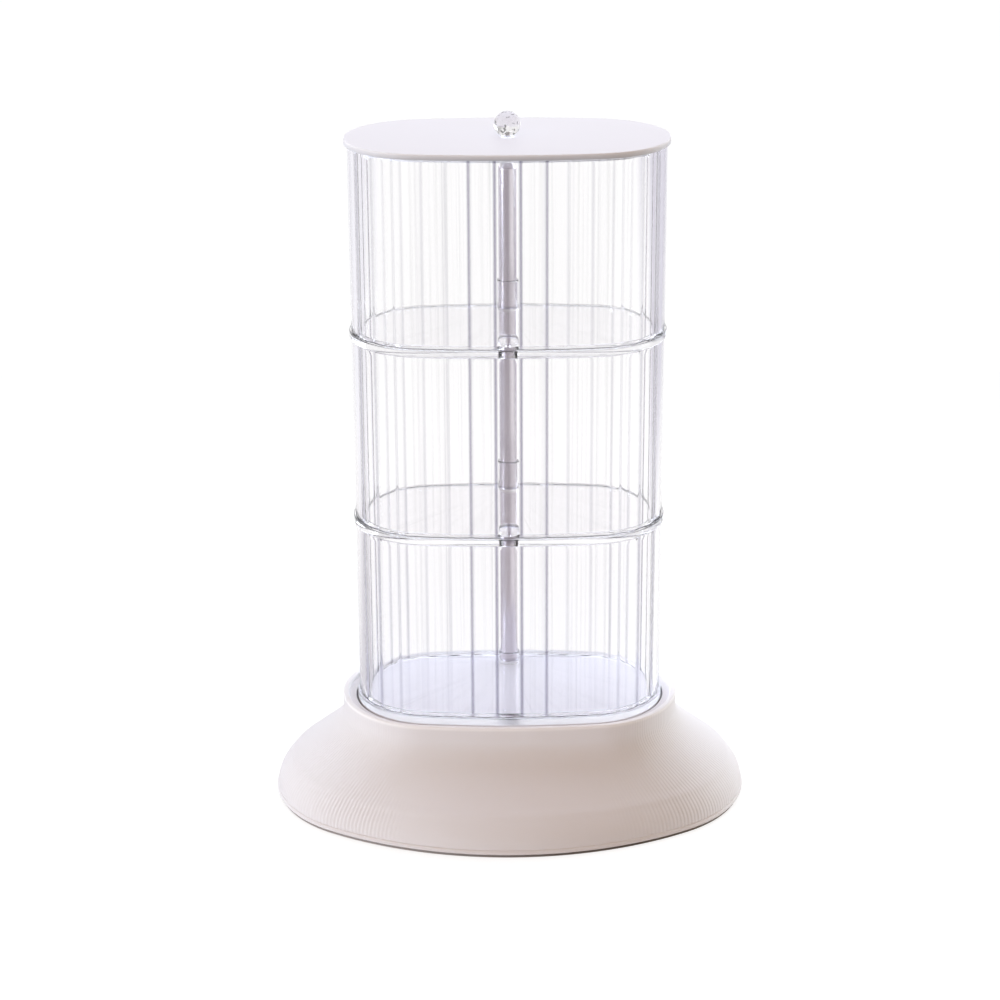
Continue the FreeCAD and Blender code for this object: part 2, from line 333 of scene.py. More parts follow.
def finish_piece(piece, body, slot, material, *nodes):
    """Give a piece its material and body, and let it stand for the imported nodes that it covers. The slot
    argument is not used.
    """
    piece.data.materials.append(material)
    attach(piece, body)
    if nodes:
        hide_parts(*nodes)


# Trays


def nearest_groove(share, gain):
    """Depth and painted shade of the groove nearest to a share of the way round."""
    groove = math.floor(share * flute_count) + 0.5
    from_middle = abs((groove + flute_count / 4) % (flute_count / 2) - flute_count / 4)
    rise = panel_rise if panel_start < from_middle < panel_end else flute_rise
    marks = back_groove_shades if 0.25 < share < 0.75 else front_groove_shades
    mark = marks[int(from_middle)] * (gain if from_middle > panel_end else 1.0)
    return rise, min(1.0, mark)


def groove_depth(share):
    """0 on a flute's crest, 1 in the groove beside it, with the groove's bottom rounded."""
    off_crest = abs((share * flute_count + 0.5) % 1.0 - 0.5) * 2
    from_groove = math.hypot(1 - off_crest, groove_round) - groove_round
    return (1 - from_groove / (math.hypot(1, groove_round) - groove_round)) ** 2


def fluted(out, fullness, z, line, back_shade, gain):
    """Ring of flutes with their crests at a distance outward from the tray's outline, with painted shade in
    the grooves and along the foot of the back.
    """
    points, lines = [], []
    for share in FLUTED:
        place, normal = station(tray_oval, share)
        depth = groove_depth(share)
        rise, mark = nearest_groove(share, gain)
        points.append(place + normal * (out - rise * fullness * depth) + Vector((0, 0, z)))
        at_back = max(0.0, place.y / tray_oval.half_depth)
        set_in = min(1.0, max(0.0, (depth - mark_start) / (mark_full - mark_start)))
        lines.append(max(line, back_shade * at_back, mark * set_in))
    return Ring(points, lines)


def tray_wall_piece(name, material):
    solid = f"{name}_tray_wall"
    low, high = (end.z for end in boxes[solid])
    low += clear_gap
    e = wall_edge
    runout = [flute_runout * share for share in runout_levels]
    heights = [low + e + rise for rise in runout] + [high - e - rise for rise in reversed(runout)]
    foot_mark = wall_foot_shades[name]
    profile = corner(-e, low + e, e, -90, 0, 3, line=foot_mark)
    profile += flat(*[(0.0, z) for z in heights])
    profile += corner(-e, high - e, e, 0, 90, 3, line=wall_top_shade)
    profile += corner(-tray_wall + e, high - e, e, 90, 180, 3, line=wall_top_shade)
    profile += flat(*[(-tray_wall, z) for z in reversed(heights)])
    profile += corner(-tray_wall + e, low + e, e, 180, 270, 3, line=foot_mark)
    rings = []
    for out, z, line in profile:
        from_end = min(1.0, max(0.0, min(z - low, high - z) - e) / flute_runout)
        fullness = runout_share + (1 - runout_share) * math.sin(from_end * math.pi / 2)
        in_band = back_band_low < (z - low - e) / flute_runout < back_band_high
        back_shade = back_foot_shades[name] if in_band else 0.0
        rings.append(fluted(out, fullness, z, line, back_shade, groove_shade_gains[name]))
    finish_piece(skin(f"{name}_wall_skin", rings), tray_bodies[name], "clear_acrylic", material, solid)


def wavy_at_back(ring, wave, fade):
    """The same ring pressed in at each groove of the back wall, with painted shade that fades towards the
    front.
    """
    points, lines = [], []
    for share, point, line in zip(EVEN, ring.points, ring.lines):
        at_back = max(0.0, point.y / floor_oval.half_depth)
        points.append(point - station(floor_oval, share)[1] * wave * at_back * groove_depth(share))
        lines.append(line * at_back**fade)
    return Ring(points, lines)


def tray_floor_piece(name, material):
    solid = f"{name}_tray_floor"
    low, high = (end.z for end in boxes[solid])
    top = high - floor_step
    bore = hub_spigot_radius + clear_gap
    seat = inside_oval.half_length - wall_seat_gap - floor_oval.half_length
    r = floor_edge_round
    edge, face, step = floor_edge_shades_and_frost[name], floor_face_marks[name], floor_step_rounds[name]
    profile = corner(-r, low + r, r, -90, 0, line=edge, lead_out=face)
    profile += corner(-r, top - r, r, 0, 90, line=edge, lead_in=face)
    raised = flat((seat, top)) + corner(seat - step, high - step, step, 0, 90, 3, line=floor_step_shades_and_frost[name])
    rings = [hole(bore, low, floor_oval, post_place)] + oval_rings(floor_oval, profile)
    wave, fade = floor_waves[name], floor_step_fades[name]
    rings += [wavy_at_back(ring, wave, fade) for ring in oval_rings(floor_oval, raised)]
    rings.append(hole(bore, high, grown(floor_oval, seat), post_place))
    finish_piece(skin(f"{name}_floor_skin", rings), tray_bodies[name], "clear_acrylic", material, solid)


def tray_hub_piece(name, material):
    solid = f"{name}_tray_hub"
    low, high, radius = boxes[solid][0].z, boxes[solid][1].z, boxes[solid][1].x
    seat = boxes[f"{name}_tray_floor"][1].z + clear_gap
    post = post_radius + clear_gap
    r = hub_edge_round
    foot = ((hub_spigot_radius, seat), (radius - hub_foot_bevel, seat), (radius, seat + hub_foot_bevel))
    profile = flat((hub_spigot_radius, low), (hub_spigot_radius, seat - hub_fade_below))
    profile += [Point(out, z, hub_foot_glint) for out, z in foot]
    profile += flat((radius, seat + hub_fade_above))
    profile += corner(radius - r, high - r, r, 0, 90, line=hub_top_glint)
    if name == "bottom":
        socket = boxes["post_tube"][0].z
        profile += flat((post, high), (post, socket), (rod_hole_radius, socket), (rod_hole_radius, low))
    else:
        profile += flat((post, high), (post, low))
    hub = skin(f"{name}_hub_skin", round_rings(profile, at=post_place))
    finish_piece(hub, tray_bodies[name], "clear_acrylic", material, solid)


def tray_pull_piece(name, material):
    """Rounded finger pull, its back shaped to the middle flute."""
    solid = f"{name}_tray_pull"
    low, high = boxes[solid]
    half_width, half_height = high.x, (high.z - low.z) / 2
    flute_width = 2 * station(tray_oval, 0.5 / flute_count)[0].x
    steps = 64
    rings = []
    for share, size in pull_form:
        points = []
        for k in range(steps):
            angle = 2 * math.pi * k / steps
            x, z = math.cos(angle), math.sin(angle)
            scale = size / (abs(x) ** pull_sharpness + abs(z) ** pull_sharpness) ** (1 / pull_sharpness)
            x, z = x * scale * half_width, z * scale * half_height
            groove = flute_rise * groove_depth(x / flute_width / flute_count)
            wall = -tray_oval.half_depth + groove - clear_gap
            points.append(Vector((x, wall + (low.y - wall) * share, low.z + half_height + z)))
        heights = [abs(point.z - low.z - half_height) / half_height for point in points]
        lines = [max(0.0, height - pull_shade_start) / (1 - pull_shade_start) for height in heights]
        rings.append(Ring(points, lines))
    pull = skin(f"{name}_pull_skin", rings, closed=False)
    finish_piece(pull, tray_bodies[name], "clear_knob", material, solid)


# Post


def post_piece(material):
    low, high = (end.z for end in boxes["post_tube"])
    e = post_edge
    profile = flat((rod_hole_radius, low))
    profile += corner(post_radius - e, low + e, e, -90, 0, 3)
    profile += corner(post_radius - e, high - e, e, 0, 90, 3)
    profile += flat((rod_hole_radius, high))
    tube = skin("post_skin", round_rings(profile, at=post_place))
    finish_piece(tube, "base", "post_steel", material, "post_tube")


def cap_piece(material):
    low, high = (end.z for end in boxes["post_cap"])
    profile = flat((rod_hole_radius, low), (post_radius - post_edge, low), (post_radius, low + post_edge))
    profile += flat((rod_radius + cap_bevel_wall, high - cap_bevel_height), (rod_radius + cap_top_wall, high))
    profile += flat((rod_hole_radius, high))
    cap = skin("cap_skin", round_rings(profile, at=post_place))
    finish_piece(cap, "base", "post_steel", material, "post_cap")


def rod_piece(material):
    """Tie rod, with thread cut on its two ends."""
    low, high = (end.z for end in boxes["tie_rod"])
    smooth_low = boxes["bottom_tray_floor"][0].z
    smooth_high = boxes["post_cap"][0].z
    steps = 32

    def threaded_rings(start, end):
        count = round((end - start) / thread_pitch * rings_per_thread)
        rings = []
        for k in range(count + 1):
            z = start + (end - start) * k / count
            points = []
            for s in range(steps):
                turn = (z / thread_pitch - s / steps) % 1.0
                radius = rod_radius - thread_depth * abs(2 * turn - 1)
                angle = 2 * math.pi * s / steps
                points.append(post_place + Vector((radius * math.cos(angle), radius * math.sin(angle), z)))
            rings.append(Ring(points, [0.0] * steps))
        return rings

    core = rod_radius - thread_depth
    inner, outer = rod_end_inner * core, rod_end_outer * core
    plain = flat((rod_radius, smooth_low + thread_runout), (rod_radius, smooth_high - thread_runout))
    rings = round_rings(flat((inner, low), (outer, low)), steps, post_place)
    rings += threaded_rings(low + rod_end_bevel, smooth_low)
    rings += round_rings(plain, steps, post_place)
    rings += threaded_rings(smooth_high, high - rod_end_bevel)
    rings += round_rings(flat((outer, high), (inner, high)), steps, post_place)
    finish_piece(skin("rod_skin", rings, closed=False), "base", "fastener_steel", material, "tie_rod")


# Lid


def paler_at_ends(ring):
    """The same ring with its painted shade fading towards the round ends."""
    ends = [(abs(point.x) / tray_oval.half_length) ** 2 for point in ring.points]
    return Ring(ring.points, [line * (1 - lid_end_fade * end) for line, end in zip(ring.lines, ends)])


def lid_piece(material):
    bottom, high = (end.z for end in boxes["lid_plate"])
    low = bottom + lid_lip_height
    oval = oval_of("lid_plate", tray_side_bow)
    lip_out = inside_oval.half_length - lid_lip_gap - oval.half_length
    lip_in = lip_out - lid_lip_width
    lip, r, e = lid_lip_round, lid_edge_round, lid_low_round
    profile = flat((lip_in - lip, low), (lip_in, low))
    profile += corner(lip_in + lip, bottom + lip, lip, 180, 270, 3)
    profile += corner(lip_out - lip, bottom + lip, lip, -90, 0, 3)
    profile += flat((lip_out, low))
    mark = lid_edge_shade
    profile += corner(-e, low + e, e, -90, 0, 3, line=mark, lead_in=mark, lead_out=mark)
    profile += corner(-r, high - r, r, 0, 90, lead_in=lid_edge_fade * mark)
    rings = [hole(knob_hole_radius, low, oval, middle_place)]
    rings += [paler_at_ends(ring) for ring in oval_rings(oval, profile)]
    rings.append(hole(knob_hole_radius, high, oval, middle_place))
    finish_piece(skin("lid_skin", rings), "lid", "lid_white", material, "lid_plate")


def knob_piece(material):
    low, high = (end.z for end in boxes["lid_knob"])
    radius = boxes["lid_knob"][1].x
    middle = high - radius
    low += clear_gap
    start = math.degrees(math.asin((low - middle) / radius))
    profile = flat((knob_hole_end, low + knob_hole_depth), (knob_hole_radius, low + knob_hole_depth))
    profile += flat((knob_hole_radius, low))
    profile += corner(0, middle, radius, start, knob_top_angle, steps=48)[1:-1]
    ball = skin("knob_skin", round_rings(profile, steps=96), closed=False)
    finish_piece(ball, "lid", "clear_knob", material, "lid_knob")


# Base


def skirt_section(height):
    """Oval and level of the flared skirt at a share of its height, from its foot to the deck."""
    below_collar = min(1.0, height / (1 - collar_height / (deck - skirt_foot)))
    flare = (1 + math.cos(math.pi * below_collar**ogee_bias)) / 2
    oval = Oval(*[rim + flare * (foot - rim) for rim, foot in zip(rim_oval, skirt_oval)])
    return oval, skirt_foot + height * (deck - skirt_foot)


def darker_at_ends(ring):
    """The same ring with the seam's painted shade fading along the long sides, where light reaches into the
    seam.
    """
    ends = [(abs(point.x) / rim_oval.half_length) ** seam_fade_power for point in ring.points]
    kept = [seam_side_share + (1 - seam_side_share) * end for end in ends]
    return Ring(ring.points, [line * share for line, share in zip(ring.lines, kept)])


def base_piece(material):
    top = deck + rim_height
    under = deck - base_wall
    r, s = rim_round, seam_round
    seat_level = deck - clear_gap
    seam_in = -rim_gap - rim_width
    seam_out = seam_in + seam_width
    inside = -rim_width
    seam = corner(seam_in - s, seat_level - s, s, 90, 0, 3)
    seam += [Point(out, deck - seam_depth, seam_shade) for out in (seam_in, seam_out)]
    recess = corner(seam_out + s, deck - s, s, 180, 90, 3)
    recess += corner(inside - s, deck + s, s, -90, 0, 3)
    # Painted highlight on the rim
    pale = {"line": rim_highlight, "lead_in": rim_highlight, "lead_out": rim_highlight}
    rim = corner(inside + r, top - r, r, 180, 90, **pale)
    rim += corner(-r, top - r, r, 90, 0, **pale)
    seat = grown(rim_oval, seam_in - s)
    rings = [hole(radius, seat_level, seat, post_place) for radius in (rod_hole_radius, post_radius)]
    rings += [darker_at_ends(ring) for ring in oval_rings(rim_oval, seam)]
    rings += oval_rings(rim_oval, recess + rim)
    for k in range(skirt_steps + 1):
        oval, z = skirt_section(1 - k / skirt_steps)
        ridge = ridge_rise * math.exp(-((z - ridge_level) / ridge_width) ** 2)
        rings.append(level(grown(oval, ridge), z))
    lowest = base_wall / (deck - skirt_foot)
    inner_steps = skirt_steps // 2
    for k in range(inner_steps + 1):
        oval, z = skirt_section(lowest + (1 - lowest) * k / inner_steps)
        rings.append(level(grown(oval, -base_wall), z - base_wall))
    ceiling = grown(rim_oval, -base_wall)
    boss_foot = under - base_boss_height
    rings += [hole(base_boss_radius, z, ceiling, post_place) for z in (under, boss_foot)]
    rings.append(hole(rod_hole_radius, boss_foot, ceiling, post_place))
    finish_piece(skin("base_skin", rings), "base", "base_white", material, "base_shell")


def screw_posts_piece(material):
    """Posts under the deck that take the screws of the bottom plate."""
    oval = grown(rim_oval, -base_wall - screw_inset)
    top = deck - base_wall
    profile = flat((screw_hole_radius, skirt_foot), (screw_post_radius, skirt_foot), (screw_post_radius, top))
    profile += flat((screw_hole_radius, top))
    places = [station(oval, share)[0] for share in CORNERS]
    posts = [skin("screw_post", round_rings(profile, steps=32, at=at)) for at in places]
    finish_piece(joined("screw_posts", posts), "base", "base_white", material)


def feet_piece(material):
    low, high = (end.z for end in boxes["base_feet"])
    places = [station(grown(plate_oval, -foot_inset), share)[0] for share in CORNERS]
    r = foot_round
    radius = boxes["base_feet"][1].x - places[0].x
    inner = foot_flat_share * radius
    profile = flat((inner, high), (radius, high))
    profile += corner(radius - r, low + r, r, 0, -90)
    profile += flat((inner, low))
    feet = [skin("foot", round_rings(profile, steps=48, at=at), closed=False) for at in places]
    finish_piece(joined("feet_skin", feet), "base", "foot_rubber", material, "base_feet")


# Materials. Scales are per metre, and a shade is a share of a piece's own colour.
noise_range = (0.3, 0.7)  # where most of a noise lies
plastic_ior = 1.49
plastic_lamp_shade = 0.97  # for lamp light that goes through
# Painted streaks towards the ends, for the faint lines that the flutes refract
streak_scales = (260.0, 4.0, 1.0)  # faint upright streaks in clear plastic, the first scale per turn
streak_range = (0.54, 0.66)
streak_sides = (80 * MM, 64 * MM)  # distances from the middle between which they set in
streak_shade = 0.91
# Dark spots in the knob: painted glints of the dark things a clear ball refracts
painted_glint_scale = 420.0
painted_glint_range = (0.6, 0.66)
painted_glint_shade = 0.1
smear_scale = 60.0
smear_sway = 0.4  # share by which the roughness goes up and down
cloud_scale = 14.0
cloud_shade = 0.97
cloud_sway = 0.05
grain_scale = 1500.0
grain_height = 0.05 * MM
rib_height = 0.08 * MM
rib_sides = (45 * MM, 95 * MM)  # distances from the middle between which the ribs set in
rib_shade = 0.95
drawn_scales = (900.0, 900.0, 12.0)  # fine lines along the steel
drawn_shade = 0.94
drawn_sway = 0.15
rubber_scale = 900.0
rubber_height = 0.1 * MM
rubber_bump = 0.3
rubber_shade = 0.7
rubber_roughness = 0.8


def node(tree, kind, inputs=(), **settings):
    made = tree.nodes.new("ShaderNode" + kind)
    for name, value in settings.items():
        setattr(made, name, value)
    for name, value in dict(inputs).items():
        if isinstance(value, bpy.types.NodeSocket):
            tree.links.new(value, made.inputs[name])
        else:
            made.inputs[name].default_value = value
    return made


def blend(tree, factor, first, second):
    """Colour between two others."""
    return node(tree, "Mix", {0: factor, 6: first, 7: second}, data_type="RGBA").outputs[2]


def maths(tree, operation, *values):
    return node(tree, "Math", dict(enumerate(values)), operation=operation).outputs[0]


def times(tree, first, second):
    return maths(tree, "MULTIPLY", first, second)


def spread(tree, value, low, high, smooth=False, start=0.0, end=1.0):
    """A value mapped from one range to another."""
    inputs = {"Value": value, "From Min": low, "From Max": high, "To Min": start, "To Max": end}
    kind = "SMOOTHSTEP" if smooth else "LINEAR"
    return node(tree, "MapRange", inputs, interpolation_type=kind).outputs["Result"]


def object_place(tree):
    return node(tree, "TexCoord").outputs["Object"]


def part_of(tree, vector, axis):
    return node(tree, "SeparateXYZ", {0: vector}).outputs[axis]


def off_middle(tree, place):
    """Distance to the left or the right of the middle."""
    return maths(tree, "ABSOLUTE", part_of(tree, place, "X"))


def noise(tree, place, scale, detail):
    return node(tree, "TexNoise", {"Vector": place, "Scale": scale, "Detail": detail}).outputs["Fac"]


def drawn_noise(tree, place, scales, detail):
    """Noise with a scale of its own in each direction."""
    drawn = node(tree, "Mapping", {"Vector": place, "Scale": scales}).outputs[0]
    return noise(tree, drawn, 1.0, detail)


# Painted shade of a point, or below zero its painted highlight; in frosted plastic the mark also roughens
def painted_light_mark(tree):
    return node(tree, "Attribute", attribute_name="line").outputs["Fac"]


def new_material(name):
    material = bpy.data.materials.new(name)
    material.use_nodes = True
    material.node_tree.nodes.clear()
    return material, material.node_tree


def show(tree, surface):
    node(tree, "OutputMaterial", {"Surface": surface})


def colour(red, green, blue):
    """Linear colour of an 8-bit screen colour."""
    parts = [v / 255 for v in (red, green, blue)]
    return (*[v / 12.92 if v <= 0.04045 else ((v + 0.055) / 1.055) ** 2.4 for v in parts], 1.0)


def shade(tone, share):
    return (*[share * v for v in tone[:3]], 1.0)


# Tone of a painted highlight
painted_highlight_tone = colour(254, 252, 252)


def clear_plastic(name, tint, painted_shade_tint, roughness, frost=0.0, spots=False):
    """Clear moulding that lets lamps through, with painted shade at marked edges and grooves."""
    material, tree = new_material(name)
    line = painted_light_mark(tree)
    place = object_place(tree)
    # Painted streaks
    streak = drawn_noise(tree, node(tree, "UVMap").outputs[0], streak_scales, 2.0)
    at_side = spread(tree, off_middle(tree, place), *streak_sides)
    faded = times(tree, spread(tree, streak, *streak_range), at_side)
    body = blend(tree, faded, tint, shade(tint, streak_shade))
    # Painted glints: dark spots
    if spots:
        painted_glint = noise(tree, place, painted_glint_scale, 1.0)
        body = blend(tree, spread(tree, painted_glint, *painted_glint_range), body, shade(tint, painted_glint_shade))
    smear = noise(tree, place, smear_scale, 3.0)
    dull, bright = (1 + smear_sway) * roughness, (1 - smear_sway) * roughness
    polish = spread(tree, smear, *noise_range, start=bright, end=dull)
    glass = node(tree, "BsdfPrincipled", {
        "Base Color": blend(tree, line, body, painted_shade_tint),
        "Roughness": maths(tree, "MULTIPLY_ADD", line, frost, polish),
        "IOR": plastic_ior, "Transmission Weight": 1.0})
    through = node(tree, "BsdfTransparent", {"Color": shade(tint, plastic_lamp_shade)})
    lamp = node(tree, "LightPath").outputs["Is Shadow Ray"]
    show(tree, node(tree, "MixShader", {0: lamp, 1: glass.outputs[0], 2: through.outputs[0]}).outputs[0])
    return material


def white_moulding(name, tone, painted_shade_tone, roughness, grain, ribs=0):
    """Satin white plastic with a fine grain, painted shade where it is marked and a painted highlight where
    marked below zero, and fine ribs at its ends whose hollows get painted shade.
    """
    material, tree = new_material(name)
    line = painted_light_mark(tree)
    place = object_place(tree)
    cloud = noise(tree, place, cloud_scale, 3.0)
    fine = noise(tree, place, grain_scale, 2.0)
    bump = node(tree, "Bump", {"Height": fine, "Strength": grain, "Distance": grain_height}).outputs[0]
    plain = blend(tree, cloud, shade(tone, cloud_shade), tone)
    if ribs:
        turn = part_of(tree, node(tree, "UVMap").outputs[0], "X")
        wave = maths(tree, "SINE", times(tree, turn, 2 * math.pi * ribs))
        height = times(tree, wave, spread(tree, off_middle(tree, place), *rib_sides, smooth=True))
        relief = {"Height": height, "Strength": 1.0, "Distance": rib_height, "Normal": bump}
        bump = node(tree, "Bump", relief).outputs[0]
        # The ribs' hollows also get a painted shade
        plain = blend(tree, spread(tree, height, 0.0, -1.0), plain, shade(tone, rib_shade))
    marked = blend(tree, line, plain, painted_shade_tone)
    polish = spread(tree, cloud, *noise_range, start=roughness - cloud_sway, end=roughness + cloud_sway)
    plastic = node(tree, "BsdfPrincipled", {
        "Base Color": blend(tree, spread(tree, line, 0.0, -1.0), marked, painted_highlight_tone),
        "Roughness": polish, "Normal": bump})
    show(tree, plastic.outputs[0])
    return material


def steel(name, tone, roughness):
    """Bright metal with fine lines drawn along it."""
    material, tree = new_material(name)
    streak = drawn_noise(tree, object_place(tree), drawn_scales, 3.0)
    dull, bright = (1 + drawn_sway) * roughness, (1 - drawn_sway) * roughness
    metal = node(tree, "BsdfPrincipled", {
        "Base Color": blend(tree, streak, shade(tone, drawn_shade), tone), "Metallic": 1.0,
        "Roughness": spread(tree, streak, *noise_range, start=bright, end=dull)})
    show(tree, metal.outputs[0])
    return material


def rubber(name, tone):
    material, tree = new_material(name)
    fine = noise(tree, object_place(tree), rubber_scale, 2.0)
    bump = node(tree, "Bump", {"Height": fine, "Strength": rubber_bump, "Distance": rubber_height})
    soft = node(tree, "BsdfPrincipled", {
        "Base Color": blend(tree, fine, shade(tone, rubber_shade), tone),
        "Roughness": rubber_roughness, "Normal": bump.outputs[0]})
    show(tree, soft.outputs[0])
    return material


floor_tint = (0.985, 0.976, 0.988, 1.0)
# The second colour of each clear plastic is its painted shade at marks; the frosted floor's is nearly white
acrylic = clear_plastic("clear_acrylic", (0.99, 0.988, 0.994, 1.0), (0.36, 0.345, 0.43, 1.0), 0.02)
floor_clear = clear_plastic("clear_floor", floor_tint, (0.5, 0.49, 0.55, 1.0), 0.02)
floor_frosted = clear_plastic("frosted_floor", floor_tint, (0.99, 0.98, 1.0, 1.0), 0.02, frost=0.3)
pull_clear = clear_plastic("clear_pull", (0.96, 0.955, 0.97, 1.0), (0.4, 0.39, 0.46, 1.0), 0.01)
knob_clear = clear_plastic("clear_knob", (0.9, 0.885, 0.89, 1.0), (0.6, 0.6, 0.65, 1.0), 0.01, spots=True)
# The lid's painted shade is bluish against the warm light in front; the base's is a dark painted shade for
# the seam
lid_white = white_moulding("lid_white", colour(243, 242, 245), colour(118, 126, 140), 0.45, 0.1)
base_white = white_moulding("base_white", colour(238, 235, 236), colour(70, 66, 66), 0.48, 0.15, ribs=300)
post_steel = steel("post_steel", (0.79, 0.75, 0.785, 1.0), 0.2)
fastener_steel = steel("fastener_steel", (0.85, 0.84, 0.83, 1.0), 0.3)
foot_rubber = rubber("foot_rubber", colour(92, 90, 92))

# The pieces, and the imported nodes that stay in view
base_piece(base_white)
screw_posts_piece(base_white)
feet_piece(foot_rubber)
post_piece(post_steel)
cap_piece(post_steel)
rod_piece(fastener_steel)
for name in tray_names:
    tray_wall_piece(name, acrylic)
    tray_floor_piece(name, floor_frosted if name == "bottom" else floor_clear)
    tray_hub_piece(name, acrylic)
    if name != "bottom":
        tray_pull_piece(name, pull_clear)
lid_piece(lid_white)
knob_piece(knob_clear)
node_materials = {
    "base_bottom_plate": base_white, "base_screws": fastener_steel, "base_washer": fastener_steel,
    "base_nut": fastener_steel, "knob_screw": fastener_steel, "knob_washer": fastener_steel,
}
for name, material in node_materials.items():
    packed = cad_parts[name]
    packed.data.materials.clear()
    packed.data.materials.append(material)


# Floor, surroundings, lamps and camera
white = (1.0, 1.0, 1.0, 1.0)
floor_radius = 8.0
floor_drop = 0.3 * MM  # below the object's feet
floor_lit = (0.9, 0.9, 0.9, 1.0)  # the floor's own colour, under lamps
glow_range = (0.3, 0.9)  # distances between which the floor's glow changes
glow_strengths = (1.18, 1.02)
glow_shares = (0.72, 1.0)
# What clear and polished pieces see of the floor, by distance and by bearing from the post in degrees
floor_near = (0.98, 0.98, 0.975, 1.0)
floor_plain = (1.08, 1.08, 1.07, 1.0)
floor_left = (0.52, 0.5, 0.55, 1.0)
floor_front_left = (0.45, 0.42, 0.44, 1.0)
floor_far_left = (0.92, 0.91, 0.96, 1.0)
floor_far_right = (0.72, 0.7, 0.78, 1.0)
near_range = (0.35, 0.6)
left_bearings = (-150, -110)
front_left_bearings = (-65, -48)
right_bearings = (60, -10)
behind_range = (0.05, 0.3)
aside_start, aside_end = 0.22, 0.6
# Patch under the object, its colour a painted shadow that grows darker to the right
shade_drop = 0.15 * MM
shade_inset = 1.5 * MM
shade_sides = (-0.1, 0.08)
shade_left = (0.9, 0.87, 0.86, 1.0)
shade_right = (0.45, 0.4, 0.37, 1.0)
# Light of the surroundings, what is seen of them, and the parts of a direction between which they change
light_front_low = (0.25, 0.21, 0.18, 1.0)
light_front_high = (0.39, 0.205, 0.07, 1.0)
light_back_low = (0.26, 0.25, 0.24, 1.0)
light_back_high = (0.31, 0.3, 0.29, 1.0)
light_back_range = (-0.3, 0.6)
light_high_range = (0.05, 0.6)
seen_dim = (0.34, 0.31, 0.31, 1.0)
dim_front_range = (-0.1, -0.6)
dim_high_range = (0.1, 0.35)
lamp_aim = Vector((0, 0, 0.15))


def seen_ray(tree):
    """1 for rays that see the surroundings straight, mirrored or through plastic, 0 for scattered ones."""
    path = node(tree, "LightPath").outputs
    mirrored = maths(tree, "MAXIMUM", path["Is Glossy Ray"], path["Is Transmission Ray"])
    seen = maths(tree, "MAXIMUM", path["Is Camera Ray"], mirrored)
    return times(tree, seen, maths(tree, "LESS_THAN", path["Diffuse Depth"], 0.5))


def beyond_camera(tree):
    """1 for rays that don't come straight from the camera."""
    return maths(tree, "SUBTRACT", 1.0, node(tree, "LightPath").outputs["Is Camera Ray"])


def floor_tone(tree, place, away):
    """What clear and polished pieces see of the floor: dimmer to the left, and aside behind the object."""
    apart = node(tree, "SeparateXYZ", {0: place}).outputs
    ahead = maths(tree, "SUBTRACT", post_place.y, apart["Y"])
    bearing = maths(tree, "ARCTAN2", apart["X"], ahead)
    behind = spread(tree, apart["Y"], *behind_range)

    def across(bearings):
        start, end = (math.radians(angle) for angle in bearings)
        return spread(tree, bearing, start, end, smooth=True)

    def far_aside(side):
        aside = spread(tree, apart["X"], side * aside_start, side * aside_end, smooth=True)
        return times(tree, behind, aside)

    off_right = across(right_bearings)
    tone = blend(tree, spread(tree, away, *near_range), floor_near, floor_plain)
    tone = blend(tree, times(tree, across(left_bearings), off_right), tone, floor_left)
    tone = blend(tree, times(tree, across(front_left_bearings), off_right), tone, floor_front_left)
    tone = blend(tree, far_aside(-1), tone, floor_far_left)
    return blend(tree, far_aside(1), tone, floor_far_right)


def stage_piece(name, mesh, drop):
    piece = bpy.data.objects.new(name, mesh)
    piece.location.z = -drop
    scene.collection.objects.link(piece)
    material, tree = new_material(name)
    mesh.materials.append(material)
    return piece, tree


def studio_floor():
    """Pale floor that glows for what looks at it and keeps a soft shadow of the object."""
    mesh = bpy.data.meshes.new("studio_floor")
    form = bmesh.new()
    bmesh.ops.create_circle(form, cap_ends=True, segments=96, radius=floor_radius)
    form.to_mesh(mesh)
    form.free()
    floor, tree = stage_piece("studio_floor", mesh, floor_drop)
    place = object_place(tree)
    away = node(tree, "VectorMath", {0: place}, operation="LENGTH").outputs["Value"]

    def outward(ends):
        return spread(tree, away, *glow_range, smooth=True, start=ends[0], end=ends[1])

    lit = node(tree, "BsdfDiffuse", {"Color": floor_lit})
    tone = blend(tree, beyond_camera(tree), white, floor_tone(tree, place, away))
    glow = node(tree, "Emission", {"Color": tone, "Strength": outward(glow_strengths)})
    pale = node(tree, "MixShader", {0: outward(glow_shares), 1: lit.outputs[0], 2: glow.outputs[0]})
    show(tree, node(tree, "MixShader", {0: seen_ray(tree), 1: lit.outputs[0], 2: pale.outputs[0]}).outputs[0])


def contact_shade():
    """The part of the floor under the object, which doesn't glow, its colour a painted shadow darker to the
    right.
    """
    mesh = bpy.data.meshes.new("contact_shade")
    outline = [station(grown(plate_oval, -shade_inset), share)[0] for share in EVEN]
    mesh.from_pydata(outline, [], [tuple(range(len(outline)))])
    patch, tree = stage_piece("contact_shade", mesh, shade_drop)
    rightward = spread(tree, part_of(tree, object_place(tree), "X"), *shade_sides, smooth=True)
    tone = blend(tree, rightward, shade_left, shade_right)
    show(tree, node(tree, "BsdfDiffuse", {"Color": tone}).outputs[0])


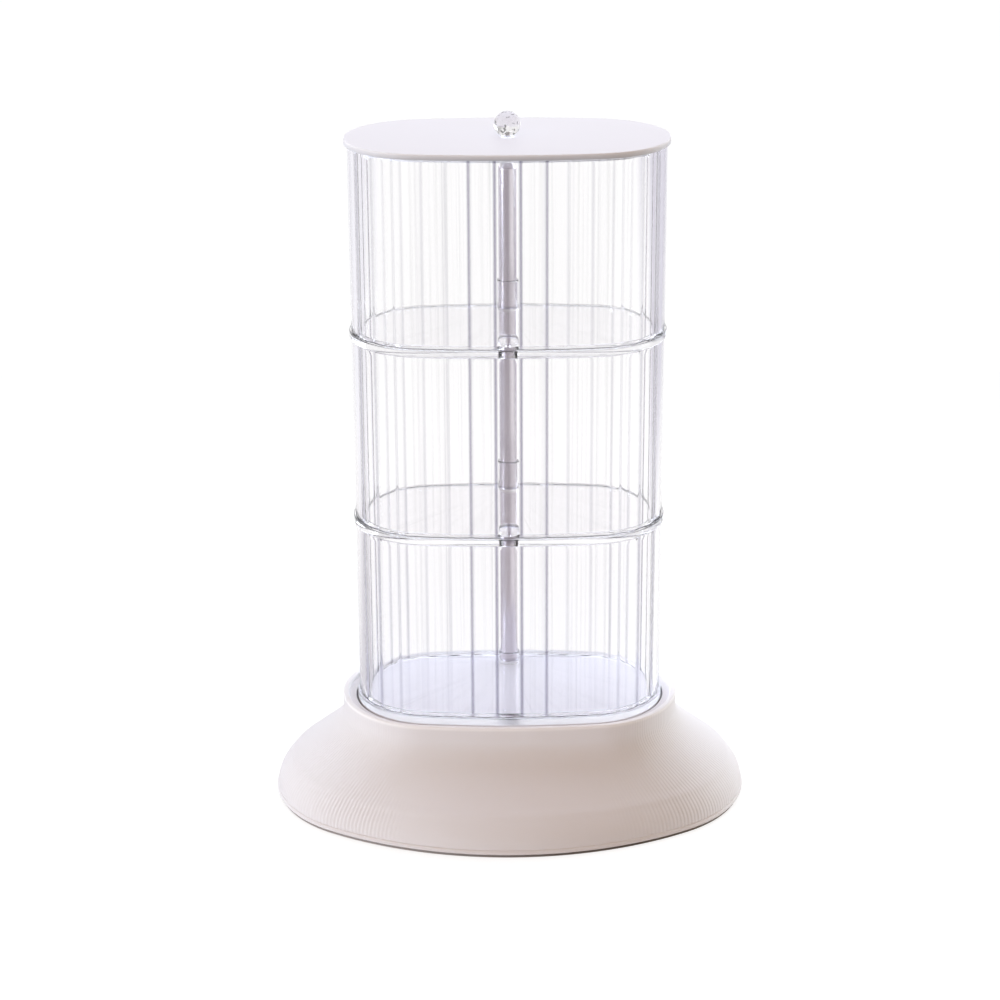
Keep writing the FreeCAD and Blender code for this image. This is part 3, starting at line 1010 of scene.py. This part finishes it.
def studio_world():
    """Soft light, seen as white by what looks at it, but dim and warm high in front."""
    scene.world = bpy.data.worlds.new("studio")
    scene.world.use_nodes = True
    tree = scene.world.node_tree
    tree.nodes.clear()
    toward = node(tree, "SeparateXYZ", {0: node(tree, "TexCoord").outputs["Generated"]}).outputs
    back = spread(tree, toward["Y"], *light_back_range, smooth=True)
    upward = spread(tree, toward["Z"], *light_high_range, smooth=True)
    ahead = blend(tree, upward, light_front_low, light_front_high)
    tone = blend(tree, back, ahead, blend(tree, upward, light_back_low, light_back_high))
    light = node(tree, "Background", {"Color": tone, "Strength": 1.0})
    front = spread(tree, toward["Y"], *dim_front_range, smooth=True)
    high = spread(tree, toward["Z"], *dim_high_range, smooth=True)
    dimmed = times(tree, times(tree, front, high), beyond_camera(tree))
    seen = node(tree, "Background", {"Color": blend(tree, dimmed, white, seen_dim), "Strength": 1.0})
    mixed = node(tree, "MixShader", {0: seen_ray(tree), 1: light.outputs[0], 2: seen.outputs[0]})
    node(tree, "OutputWorld", {"Surface": mixed.outputs[0]})


def softbox(name, place, width, height, power, tone):
    lamp = bpy.data.lights.new(name, "AREA")
    lamp.shape = "RECTANGLE"
    lamp.size, lamp.size_y = width, height
    lamp.energy = power
    lamp.color = tone
    holder = bpy.data.objects.new(name, lamp)
    holder.location = place
    holder.rotation_euler = (lamp_aim - Vector(place)).to_track_quat("-Z", "Y").to_euler()
    holder.visible_glossy = False
    scene.collection.objects.link(holder)


def camera():
    lens = bpy.data.cameras.new("camera")
    lens.sensor_width = 36.0
    lens.lens = 91.69
    lens.shift_y = -0.08
    lens.clip_start = 0.05
    lens.clip_end = 50.0
    holder = bpy.data.objects.new("camera", lens)
    holder.location = (-0.00461, -1.3390, 0.6800)
    holder.rotation_mode = "QUATERNION"
    pitch_down, roll = 0.3286, 0.0053
    level_view = Quaternion((1, 0, 0), math.pi / 2 - pitch_down)
    holder.rotation_quaternion = level_view @ Quaternion((0, 0, 1), -roll)
    scene.collection.objects.link(holder)
    scene.camera = holder


studio_floor()
contact_shade()
studio_world()
softbox("left_softbox", (-1.5, -0.76, 0.35), 0.8, 0.6, 18.0, (0.83, 0.91, 1.0))
softbox("right_softbox", (1.5, 0.35, 0.35), 0.8, 0.6, 8.0, (0.862, 0.973, 1.0))
softbox("back_softbox", (1.25, 0.95, 0.5), 0.8, 0.6, 6.0, (0.865, 0.926, 1.0))
softbox("top_softbox", (0.0, 0.5, 1.6), 1.2, 1.0, 17.6, (0.74, 0.835, 1.0))
camera()
scene.view_settings.view_transform = "Standard"
scene.cycles.max_bounces = 24
scene.cycles.glossy_bounces = 12
scene.cycles.transmission_bounces = 24
scene.cycles.transparent_max_bounces = 24
